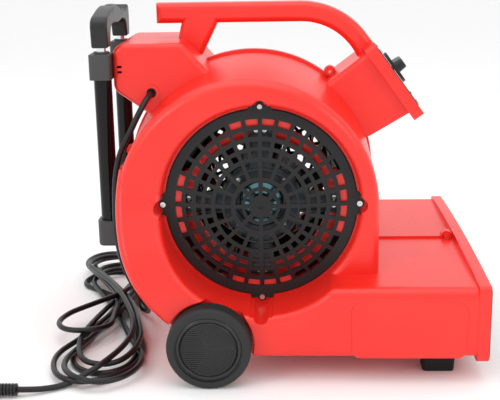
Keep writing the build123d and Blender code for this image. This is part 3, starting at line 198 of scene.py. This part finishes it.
def lay_cord():
    """The whole cord as one smooth line: down from the rear box, round the bundle and out to the plug."""
    loops = settle(hang_route + bundle_points() + tail_route, (len(hang_route), len(tail_route)))
    data = bpy.data.curves.new("cord", "CURVE")
    data.dimensions = "3D"
    line = data.splines.new("NURBS")
    line.points.add(len(loops) - 1)
    for point, place in zip(line.points, loops):
        point.co = (*place, 1)
        point.radius = cord_radius
    line.order_u = 3
    line.use_endpoint_u = True
    line.resolution_u = 6
    data.bevel_depth = 1.0      # times each point's radius
    data.bevel_resolution = 3
    data.use_fill_caps = True
    cord = bpy.data.objects.new("cord", data)
    bpy.context.scene.collection.objects.link(cord)
    return cord


cord = lay_cord()
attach(cord, "housing")
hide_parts("cord_hanging", "cord_hank", "cord_tail")


# ---------------------------------------------------------------- surface effects shared by the materials
def tree_node(tree, kind, values=None, **settings):
    """A node with its settings and its unlinked input values."""
    made = tree.nodes.new(kind)
    for name, value in settings.items():
        setattr(made, name, value)
    for key, value in (values or {}).items():
        made.inputs[key].default_value = value
    return made


def moulded_grain_group():
    """Fine skin of a moulded or cast part, and the slow change of tone over it."""
    tree = bpy.data.node_groups.new("moulded_grain", "ShaderNodeTree")
    tree.interface.new_socket("Grains per metre", in_out="INPUT", socket_type="NodeSocketFloat")
    tree.interface.new_socket("Height", in_out="OUTPUT", socket_type="NodeSocketFloat")
    tree.interface.new_socket("Tone", in_out="OUTPUT", socket_type="NodeSocketFloat")
    given, out = tree.nodes.new("NodeGroupInput"), tree.nodes.new("NodeGroupOutput")
    place = tree_node(tree, "ShaderNodeTexCoord")
    grain = tree_node(tree, "ShaderNodeTexNoise", {"Detail": 3.0, "Roughness": 0.6})
    slow = tree_node(tree, "ShaderNodeTexNoise", {"Scale": 9.0, "Detail": 2.0})
    tree.links.new(place.outputs["Object"], grain.inputs["Vector"])
    tree.links.new(place.outputs["Object"], slow.inputs["Vector"])
    tree.links.new(given.outputs["Grains per metre"], grain.inputs["Scale"])
    tree.links.new(grain.outputs["Fac"], out.inputs["Height"])
    tree.links.new(slow.outputs["Fac"], out.inputs["Tone"])
    return tree


def handling_marks_group():
    """Sparse short rubs from handling, as a mask."""
    tree = bpy.data.node_groups.new("handling_marks", "ShaderNodeTree")
    tree.interface.new_socket("Amount", in_out="INPUT", socket_type="NodeSocketFloat")
    tree.interface.new_socket("Mask", in_out="OUTPUT", socket_type="NodeSocketFloat")
    given, out = tree.nodes.new("NodeGroupInput"), tree.nodes.new("NodeGroupOutput")
    place = tree_node(tree, "ShaderNodeTexCoord")
    stretch = tree_node(tree, "ShaderNodeMapping", {"Scale": (60.0, 18.0, 25.0), "Rotation": (0.4, 0.3, 0.7)})
    rubs = tree_node(tree, "ShaderNodeTexNoise", {"Scale": 3.0, "Detail": 6.0, "Roughness": 0.7})
    sparse = tree_node(tree, "ShaderNodeMapRange", {"From Min": 0.58, "From Max": 0.72})
    scale = tree_node(tree, "ShaderNodeMath", operation="MULTIPLY")
    tree.links.new(place.outputs["Object"], stretch.inputs["Vector"])
    tree.links.new(stretch.outputs["Vector"], rubs.inputs["Vector"])
    tree.links.new(rubs.outputs["Fac"], sparse.inputs["Value"])
    tree.links.new(sparse.outputs["Result"], scale.inputs[0])
    tree.links.new(given.outputs["Amount"], scale.inputs[1])
    tree.links.new(scale.outputs["Value"], out.inputs["Mask"])
    return tree


moulded_grain = moulded_grain_group()
handling_marks = handling_marks_group()


def finish(name, colour, shade, rough, grains=900.0, depth=0.02, rubs=0.1, **shader):
    """Material from two tones of one colour, a roughness with handling marks in it and a fine grain."""
    material = bpy.data.materials.new(name)
    material.use_nodes = True
    tree = material.node_tree
    surface = tree.nodes["Principled BSDF"]
    for socket, value in shader.items():
        surface.inputs[socket.replace("_", " ")].default_value = value
    grain = tree_node(tree, "ShaderNodeGroup", node_tree=moulded_grain)
    grain.inputs["Grains per metre"].default_value = grains
    marks = tree_node(tree, "ShaderNodeGroup", node_tree=handling_marks)
    marks.inputs["Amount"].default_value = rubs
    tone = tree_node(tree, "ShaderNodeMapRange", {"From Min": 0.35, "From Max": 0.65})
    tones = tree_node(tree, "ShaderNodeMix", data_type="RGBA")
    tones.inputs["A"].default_value = (*colour, 1)
    tones.inputs["B"].default_value = (*shade, 1)
    roughness = tree_node(tree, "ShaderNodeMath", {1: rough}, operation="ADD")
    bump = tree_node(tree, "ShaderNodeBump", {"Strength": 1.0, "Distance": depth * 0.001})
    tree.links.new(grain.outputs["Tone"], tone.inputs["Value"])
    tree.links.new(tone.outputs["Result"], tones.inputs["Factor"])
    tree.links.new(tones.outputs["Result"], surface.inputs["Base Color"])
    tree.links.new(marks.outputs["Mask"], roughness.inputs[0])
    tree.links.new(roughness.outputs["Value"], surface.inputs["Roughness"])
    tree.links.new(grain.outputs["Height"], bump.inputs["Height"])
    tree.links.new(bump.outputs["Normal"], surface.inputs["Normal"])
    return material


red_shell = finish("red_shell", (0.86, 0.020, 0.010), (0.80, 0.015, 0.008), 0.34, 700, 0.03, 0.10, Coat_Weight=0.12,
                   Coat_Roughness=0.22)
grille_black = finish("grille_black", (0.014, 0.014, 0.014), (0.010, 0.010, 0.010), 0.46, 1400, 0.03, 0.10,
                      Specular_IOR_Level=0.3)
trim_grey = finish("trim_grey", (0.050, 0.051, 0.052), (0.038, 0.039, 0.040), 0.45, 1500, 0.05, 0.12)
grip_black = finish("grip_black", (0.012, 0.012, 0.013), (0.008, 0.008, 0.009), 0.34, 1500, 0.04, 0.12,
                    Specular_IOR_Level=0.4)
tyre_black = finish("tyre_black", (0.020, 0.020, 0.020), (0.014, 0.014, 0.014), 0.62, 1100, 0.08, 0.12,
                    Specular_IOR_Level=0.4)
hub_black = finish("hub_black", (0.014, 0.014, 0.015), (0.010, 0.010, 0.011), 0.30, 1500, 0.03, 0.08,
                   Specular_IOR_Level=0.45)
foot_black = finish("foot_black", (0.010, 0.010, 0.010), (0.007, 0.007, 0.007), 0.62, 1000, 0.08, 0.10,
                    Specular_IOR_Level=0.3)
enamel_black = finish("enamel_black", (0.004, 0.004, 0.005), (0.003, 0.003, 0.004), 0.12, 500, 0.01, 0.05,
                      Specular_IOR_Level=0.25)
chrome = finish("chrome", (0.86, 0.87, 0.88), (0.80, 0.81, 0.82), 0.07, 800, 0.004, 0.06, Metallic=1.0)
screw_plating = finish("screw_plating", (0.62, 0.62, 0.62), (0.50, 0.50, 0.50), 0.16, 1500, 0.01, 0.10, Metallic=1.0)
spider_zinc = finish("spider_zinc", (0.060, 0.068, 0.075), (0.040, 0.047, 0.053), 0.36, 1200, 0.03, 0.10,
                     Metallic=0.8)
motor_paint = finish("motor_paint", (0.012, 0.020, 0.026), (0.008, 0.014, 0.019), 0.30, 900, 0.05, 0.12)
bell_metal = finish("bell_metal", (0.22, 0.40, 0.42), (0.10, 0.22, 0.24), 0.20, 900, 0.02, 0.10, Metallic=0.95)
ground_steel = finish("ground_steel", (0.55, 0.55, 0.55), (0.45, 0.45, 0.46), 0.25, 1600, 0.01, 0.10, Metallic=1.0)
fan_black = finish("fan_black", (0.008, 0.008, 0.009), (0.005, 0.005, 0.006), 0.40, 1200, 0.04, 0.10,
                   Specular_IOR_Level=0.3)
can_aluminium = finish("can_aluminium", (0.66, 0.67, 0.68), (0.58, 0.59, 0.60), 0.30, 1200, 0.01, 0.10, Metallic=1.0)
panel_film = finish("panel_film", (0.045, 0.046, 0.048), (0.035, 0.036, 0.038), 0.42, 1800, 0.02, 0.08)
cord_black = finish("cord_black", (0.008, 0.008, 0.009), (0.005, 0.005, 0.006), 0.34, 900, 0.06, 0.08,
                    Specular_IOR_Level=0.4)
pin_plating = finish("pin_plating", (0.72, 0.70, 0.64), (0.64, 0.62, 0.56), 0.22, 1500, 0.01, 0.10, Metallic=1.0)
print_white = finish("print_white", (0.80, 0.80, 0.80), (0.74, 0.74, 0.74), 0.45, 1800, 0.01, 0.05)

node_finishes = {
    red_shell: ["housing_near", "housing_far"],
    grille_black: ["inlet_grille_near", "inlet_grille_far", "outlet_grid"],
    trim_grey: ["upper_bracket", "lower_bracket", "middle_bush_near", "middle_bush_far"],
    grip_black: ["trolley_grip", "release_button", "speed_knob", "rotary_switch", "capacitor_clip"],
    tyre_black: ["tyre_near", "tyre_far"],
    hub_black: ["wheel_hub_near", "wheel_hub_far", "hub_cap_near", "hub_cap_far"],
    foot_black: ["foot_near", "foot_far"],
    enamel_black: ["outer_tube_near", "outer_tube_far"],
    chrome: ["middle_tube_near", "middle_tube_far", "inner_rod_near", "inner_rod_far"],
    screw_plating: ["seam_screws", "grille_screws_near", "grille_screws_far", "spider_screws", "motor_screws",
                    "panel_screws", "foot_screws", "bracket_screws", "hub_set_screw", "axle_clips"],
    spider_zinc: ["motor_spider"],
    motor_paint: ["motor_body"],
    bell_metal: ["motor_bell"],
    ground_steel: ["motor_shaft", "motor_bearing_front", "motor_bearing_rear", "wheel_axle", "switch_shaft"],
    fan_black: ["impeller"],
    can_aluminium: ["run_capacitor"],
    panel_film: ["panel_plate"],
    cord_black: ["cord_gland", "plug_sleeve", "plug_body"],
    pin_plating: ["plug_pins"],
}
for material, names in node_finishes.items():
    for name in names:
        for place in nodes[name].material_slots:
            place.material = material

cord.data.materials.append(cord_black)


# ---------------------------------------------------------------- detail pieces
def new_piece(name, mesh, body, material):
    """A finished piece that rides on a body."""
    mesh.name = name
    mesh.materials.clear()
    mesh.materials.append(material)
    piece = bpy.data.objects.new(name, mesh)
    bpy.context.scene.collection.objects.link(piece)
    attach(piece, body)
    return piece


def geometry_tree(name, inputs):
    """Empty tree for a modifier, with its named inputs."""
    tree = bpy.data.node_groups.new(name, "GeometryNodeTree")
    tree.interface.new_socket("Geometry", in_out="INPUT", socket_type="NodeSocketGeometry")
    for label, kind in inputs.items():
        tree.interface.new_socket(label, in_out="INPUT", socket_type=kind)
    tree.interface.new_socket("Geometry", in_out="OUTPUT", socket_type="NodeSocketGeometry")
    return tree, tree.nodes.new("NodeGroupInput").outputs, tree.nodes.new("NodeGroupOutput").inputs


def worked_out(tree, operation, *terms):
    """Output of a Math node fed by numbers or other outputs."""
    node = tree_node(tree, "ShaderNodeMath", operation=operation)
    for slot, term in zip(node.inputs, terms):
        if isinstance(term, (int, float)):
            slot.default_value = term
        else:
            tree.links.new(term, slot)
    return node.outputs["Value"]


def turned_copies_tree():
    """Copies of a shape turned about its Z axis, a step apart, as one mesh with one material."""
    tree, given, out = geometry_tree("turned_copies", {
        "Copies": "NodeSocketInt", "First angle": "NodeSocketFloat", "Step": "NodeSocketFloat",
        "Material": "NodeSocketMaterial"})
    centre = tree_node(tree, "GeometryNodeMeshLine", mode="OFFSET")
    centre.inputs["Offset"].default_value = (0, 0, 0)
    copies = tree_node(tree, "GeometryNodeInstanceOnPoints")
    turn = tree_node(tree, "ShaderNodeCombineXYZ")
    order = tree_node(tree, "GeometryNodeInputIndex")
    angle = worked_out(tree, "MULTIPLY_ADD", order.outputs["Index"], given["Step"], given["First angle"])
    real = tree_node(tree, "GeometryNodeRealizeInstances")
    coat = tree_node(tree, "GeometryNodeSetMaterial")
    tree.links.new(given["Copies"], centre.inputs["Count"])
    tree.links.new(angle, turn.inputs["Z"])
    tree.links.new(centre.outputs["Mesh"], copies.inputs["Points"])
    tree.links.new(given["Geometry"], copies.inputs["Instance"])
    tree.links.new(turn.outputs["Vector"], copies.inputs["Rotation"])
    tree.links.new(copies.outputs["Instances"], real.inputs["Geometry"])
    tree.links.new(real.outputs["Geometry"], coat.inputs["Geometry"])
    tree.links.new(given["Material"], coat.inputs["Material"])
    tree.links.new(coat.outputs["Geometry"], out["Geometry"])
    return tree


def sector_ridges_tree(turned_copies):
    """Sectors of parallel ridges: each ridge runs from the side of its sector to the rim."""
    tree, given, out = geometry_tree("sector_ridges", {
        "Ridges": "NodeSocketInt", "Pitch": "NodeSocketFloat", "Radius": "NodeSocketFloat",
        "Gap": "NodeSocketFloat", "Sectors": "NodeSocketInt", "First angle": "NodeSocketFloat",
        "Material": "NodeSocketMaterial"})
    outermost = worked_out(tree, "MULTIPLY", worked_out(tree, "SUBTRACT", given["Ridges"], 1), 0.5)
    first_y = worked_out(tree, "MULTIPLY", worked_out(tree, "MULTIPLY", outermost, given["Pitch"]), -1.0)
    start = tree_node(tree, "ShaderNodeCombineXYZ")
    step = tree_node(tree, "ShaderNodeCombineXYZ")
    row = tree_node(tree, "GeometryNodeMeshLine", mode="OFFSET")
    where = tree_node(tree, "ShaderNodeSeparateXYZ")
    place = tree_node(tree, "GeometryNodeInputPosition")
    half_sector = worked_out(tree, "DIVIDE", math.pi, given["Sectors"])
    off_axis = worked_out(tree, "ABSOLUTE", where.outputs["Y"])
    side = worked_out(tree, "ADD", worked_out(tree, "DIVIDE", off_axis, worked_out(tree, "TANGENT", half_sector)),
                      given["Gap"])
    rim = worked_out(tree, "SQRT", worked_out(
        tree, "SUBTRACT", worked_out(tree, "MULTIPLY", given["Radius"], given["Radius"]),
        worked_out(tree, "MULTIPLY", off_axis, off_axis)))
    shift = tree_node(tree, "ShaderNodeCombineXYZ")
    length = tree_node(tree, "ShaderNodeCombineXYZ", {"Y": 1.0, "Z": 1.0})
    moved = tree_node(tree, "GeometryNodeSetPosition")
    ridges = tree_node(tree, "GeometryNodeInstanceOnPoints")
    real = tree_node(tree, "GeometryNodeRealizeInstances")
    all_sectors = tree_node(tree, "GeometryNodeGroup", node_tree=turned_copies)
    tree.links.new(first_y, start.inputs["Y"])
    tree.links.new(given["Pitch"], step.inputs["Y"])
    tree.links.new(given["Ridges"], row.inputs["Count"])
    tree.links.new(start.outputs["Vector"], row.inputs["Start Location"])
    tree.links.new(step.outputs["Vector"], row.inputs["Offset"])
    tree.links.new(place.outputs["Position"], where.inputs["Vector"])
    tree.links.new(side, shift.inputs["X"])
    tree.links.new(worked_out(tree, "SUBTRACT", rim, side), length.inputs["X"])
    tree.links.new(row.outputs["Mesh"], moved.inputs["Geometry"])
    tree.links.new(shift.outputs["Vector"], moved.inputs["Offset"])
    tree.links.new(moved.outputs["Geometry"], ridges.inputs["Points"])
    tree.links.new(given["Geometry"], ridges.inputs["Instance"])
    tree.links.new(length.outputs["Vector"], ridges.inputs["Scale"])
    tree.links.new(ridges.outputs["Instances"], real.inputs["Geometry"])
    tree.links.new(real.outputs["Geometry"], all_sectors.inputs["Geometry"])
    tree.links.new(given["Sectors"], all_sectors.inputs["Copies"])
    tree.links.new(given["First angle"], all_sectors.inputs["First angle"])
    tree.links.new(worked_out(tree, "MULTIPLY", half_sector, 2.0), all_sectors.inputs["Step"])
    tree.links.new(given["Material"], all_sectors.inputs["Material"])
    tree.links.new(all_sectors.outputs["Geometry"], out["Geometry"])
    return tree


def grown(tree, source, values):
    """Plain mesh that a tree makes from a source mesh."""
    carrier = bpy.data.objects.new(tree.name, source)
    bpy.context.scene.collection.objects.link(carrier)
    modifier = carrier.modifiers.new(tree.name, "NODES")
    modifier.node_group = tree
    for item in tree.interface.items_tree:
        if item.in_out == "INPUT" and item.name in values:
            modifier[item.identifier] = values[item.name]
    made = bpy.data.meshes.new_from_object(carrier.evaluated_get(bpy.context.evaluated_depsgraph_get()))
    bpy.data.objects.remove(carrier)
    return made


def bar_mesh(x_ends, foot_width, top_width, z_ends):
    """Bar along X whose sides lean in towards its top."""
    shape = bmesh.new()
    section = ((-foot_width / 2, z_ends[0]), (foot_width / 2, z_ends[0]), (top_width / 2, z_ends[1]),
               (-top_width / 2, z_ends[1]))
    back, front = ([shape.verts.new((x, y, z)) for y, z in section] for x in x_ends)
    shape.faces.new(back[::-1])
    shape.faces.new(front)
    for i in range(4):
        shape.faces.new((back[i], back[(i + 1) % 4], front[(i + 1) % 4], front[i]))
    bmesh.ops.recalc_face_normals(shape, faces=shape.faces)
    mesh = bpy.data.meshes.new("bar")
    shape.to_mesh(mesh)
    shape.free()
    return mesh


def framed(across, up, out, place):
    """Matrix that lays local X, Y and Z along three directions at a place."""
    turned = Matrix((across, up, out)).transposed().to_4x4()
    turned.translation = place
    return turned


turned_copies = turned_copies_tree()
sector_ridges = sector_ridges_tree(turned_copies)

# ridged faces of the two hub caps: three sectors, each with ridges along its middle line
ridge_rim_r = 0.0345
ridge_pitch = 0.0028
ridge_foot, ridge_top = 0.0018, 0.0008      # widths
ridge_ends = (-0.0008, 0.0006)              # from under the dished cap face to just proud of its middle
for side, cap, body in ((-1, "hub_cap_near", "wheel_near"), (1, "hub_cap_far", "wheel_far")):
    low, high = (Vector(corner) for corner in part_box(cap))
    face = Vector(((low.x + high.x) / 2, low.y if side < 0 else high.y, (low.z + high.z) / 2))
    ridges = grown(sector_ridges, bar_mesh((0, 1), ridge_foot, ridge_top, ridge_ends), {
        "Ridges": 21, "Pitch": ridge_pitch, "Radius": ridge_rim_r, "Gap": 0.0008, "Sectors": 3,
        "First angle": math.pi, "Material": hub_black})
    ridges.transform(framed(Vector((-side, 0, 0)), Vector((0, 0, 1)), Vector((0, side, 0)), face))
    new_piece("cap_ridges_near" if side < 0 else "cap_ridges_far", ridges, body, hub_black)

# dial round the speed knob: ticks, numbers and the pointer line on the knob
slope = math.radians(54)                    # of the control panel, below the horizontal
knob_foot = Vector((0.15156, 0, 0.37493))   # where the knob's axis meets the housing
plate_thick = 0.0012
tick_ends, tick_width = (0.0262, 0.0295), 0.0009
number_r, number_size = 0.0338, 0.0065
knob_top = 0.0176                           # above the panel plate
pointer_ends = (0.009, 0.0155)
dial_out = Vector((math.sin(slope), 0, math.cos(slope)))
dial_up = Vector((-math.cos(slope), 0, math.sin(slope)))
dial = framed(Vector((0, 1, 0)), dial_up, dial_out, knob_foot + plate_thick * dial_out)
stop_step = math.radians(45)
ticks = grown(turned_copies, bar_mesh(tick_ends, tick_width, tick_width, (-0.0001, 0.00015)), {
    "Copies": 4, "First angle": 0.0, "Step": stop_step, "Material": print_white})
ticks.transform(dial)
new_piece("dial_ticks", ticks, "housing", print_white)


def dial_numbers():
    """Numbers 0 to 3, one outside each tick."""
    shape = bmesh.new()
    for number in range(4):
        text = bpy.data.curves.new("number", "FONT")
        text.body = str(number)
        text.size = number_size
        text.align_x, text.align_y = "CENTER", "CENTER"
        text.extrude = 0.0001
        writer = bpy.data.objects.new("number", text)
        bpy.context.scene.collection.objects.link(writer)
        mesh = bpy.data.meshes.new_from_object(writer.evaluated_get(bpy.context.evaluated_depsgraph_get()))
        bpy.data.objects.remove(writer)
        angle = stop_step * number
        place = (number_r * math.cos(angle), number_r * math.sin(angle), 0.00005)
        mesh.transform(dial @ Matrix.Translation(place))
        shape.from_mesh(mesh)
        bpy.data.meshes.remove(mesh)
    bmesh.ops.remove_doubles(shape, verts=shape.verts, dist=1e-7)
    made = bpy.data.meshes.new("dial_numbers")
    shape.to_mesh(made)
    shape.free()
    return made


new_piece("dial_numbers", dial_numbers(), "housing", print_white)
pointer = bar_mesh(pointer_ends, 0.0014, 0.0010, (knob_top - 0.0008, knob_top + 0.0002))
pointer.transform(dial)
new_piece("knob_pointer", pointer, "knob", print_white)


def rounded_outline(low, high, radius, steps=8):
    """Corners of a rounded rectangle, anticlockwise."""
    points = []
    for corner, (u, v) in enumerate(((high[0], high[1]), (low[0], high[1]), (low[0], low[1]), (high[0], low[1]))):
        centre_u = u - radius if corner in (0, 3) else u + radius
        centre_v = v - radius if corner in (0, 1) else v + radius
        for step in range(steps + 1):
            angle = math.radians(90 * corner + 90 * step / steps)
            points.append((centre_u + radius * math.cos(angle), centre_v + radius * math.sin(angle)))
    return points


def stacked(rings, capped, place):
    """Skin through a stack of outlines, capped or joined into a ring; place turns outline and height into a point."""
    shape = bmesh.new()
    rows = [[shape.verts.new(place(u, v, height)) for u, v in outline] for outline, height in rings]
    for lower, upper in zip(rows, rows[1:]):
        for i in range(len(lower)):
            j = (i + 1) % len(lower)
            shape.faces.new((lower[i], lower[j], upper[j], upper[i]))
    if capped:
        shape.faces.new(rows[-1])
        shape.faces.new(rows[0][::-1])
    else:
        for i in range(len(rows[0])):
            j = (i + 1) % len(rows[0])
            shape.faces.new((rows[-1][i], rows[-1][j], rows[0][j], rows[0][i]))
    bmesh.ops.recalc_face_normals(shape, faces=shape.faces)
    mesh = bpy.data.meshes.new("stacked")
    shape.to_mesh(mesh)
    shape.free()
    return mesh


# low raised panel on each side of the base, in X and Z
base_side_y = 0.226
pad_low, pad_high, pad_round = (0.084, 0.035), (0.231, 0.110), 0.012
for side in (-1, 1):
    rings = []
    for inset, height in ((0, -0.0010), (0, 0.0003), (0.0004, 0.0008), (0.0012, 0.0011)):
        outline = rounded_outline([c + inset for c in pad_low], [c - inset for c in pad_high], pad_round - inset)
        rings.append((outline, height))
    pad = stacked(rings, True, lambda u, v, height: (u, side * (base_side_y + height), v))
    new_piece("base_panel_near" if side < 0 else "base_panel_far", pad, "housing", red_shell)

# dark strip round the front of the outlet flange, in Y and Z
flange_front_x = 0.259
flange_low, flange_high, flange_round = (-0.2265, 0.0285), (0.2265, 0.133), 0.010
flange_bow = 0.003
rings = []
for inset, height in ((0.0012, -0.0008), (0.0012, 0.0007), (0.0018, 0.0011), (0.0042, 0.0011), (0.0048, 0.0007),
                      (0.0048, -0.0008)):
    outline = rounded_outline([c + inset for c in flange_low], [c - inset for c in flange_high],
                              flange_round - inset)
    rings.append((outline, height))


def on_flange(u, v, height):
    """Point on the flange front; the top edge of the flange is bowed."""
    share = (v - flange_low[1]) / (flange_high[1] - flange_low[1])
    return flange_front_x + height, u, v + flange_bow * (1 - 2 * (u / flange_high[0]) ** 2) * share


strip = stacked(rings, False, on_flange)
new_piece("mouth_strip", strip, "housing", grille_black)


def floor_and_light():
    """Pale floor, soft light from above and both sides."""
    mesh = bpy.data.meshes.new("floor")
    shape = bmesh.new()
    bmesh.ops.create_grid(shape, x_segments=1, y_segments=1, size=12)
    shape.to_mesh(mesh)
    shape.free()
    floor = bpy.data.objects.new("floor", mesh)
    bpy.context.scene.collection.objects.link(floor)
    mesh.materials.append(finish("floor_white", (0.95, 0.95, 0.95), (0.94, 0.94, 0.94), 0.7, 40, 0.01, 0.02,
                                 Specular_IOR_Level=0.1))
    world = bpy.data.worlds.new("studio")
    world.use_nodes = True
    world.node_tree.nodes["Background"].inputs["Color"].default_value = (1, 1, 1, 1)
    world.node_tree.nodes["Background"].inputs["Strength"].default_value = 1.0
    bpy.context.scene.world = world
    bpy.context.scene.view_settings.view_transform = "Standard"
    for name, place, size, power in (
        ("light_above", (-0.1, -0.3, 2.2), 2.0, 14),
        ("light_left", (-1.8, -1.6, 1.5), 0.9, 9),
        ("light_right", (1.7, -1.5, 1.4), 0.9, 6),
    ):
        data = bpy.data.lights.new(name, "AREA")
        data.size = size
        data.energy = power
        light = bpy.data.objects.new(name, data)
        light.location = place
        light.rotation_mode = "QUATERNION"
        light.rotation_quaternion = (Vector((0, 0, 0.2)) - Vector(place)).to_track_quat("-Z", "Y")
        bpy.context.scene.collection.objects.link(light)


floor_and_light()

bpy.context.view_layer.update()
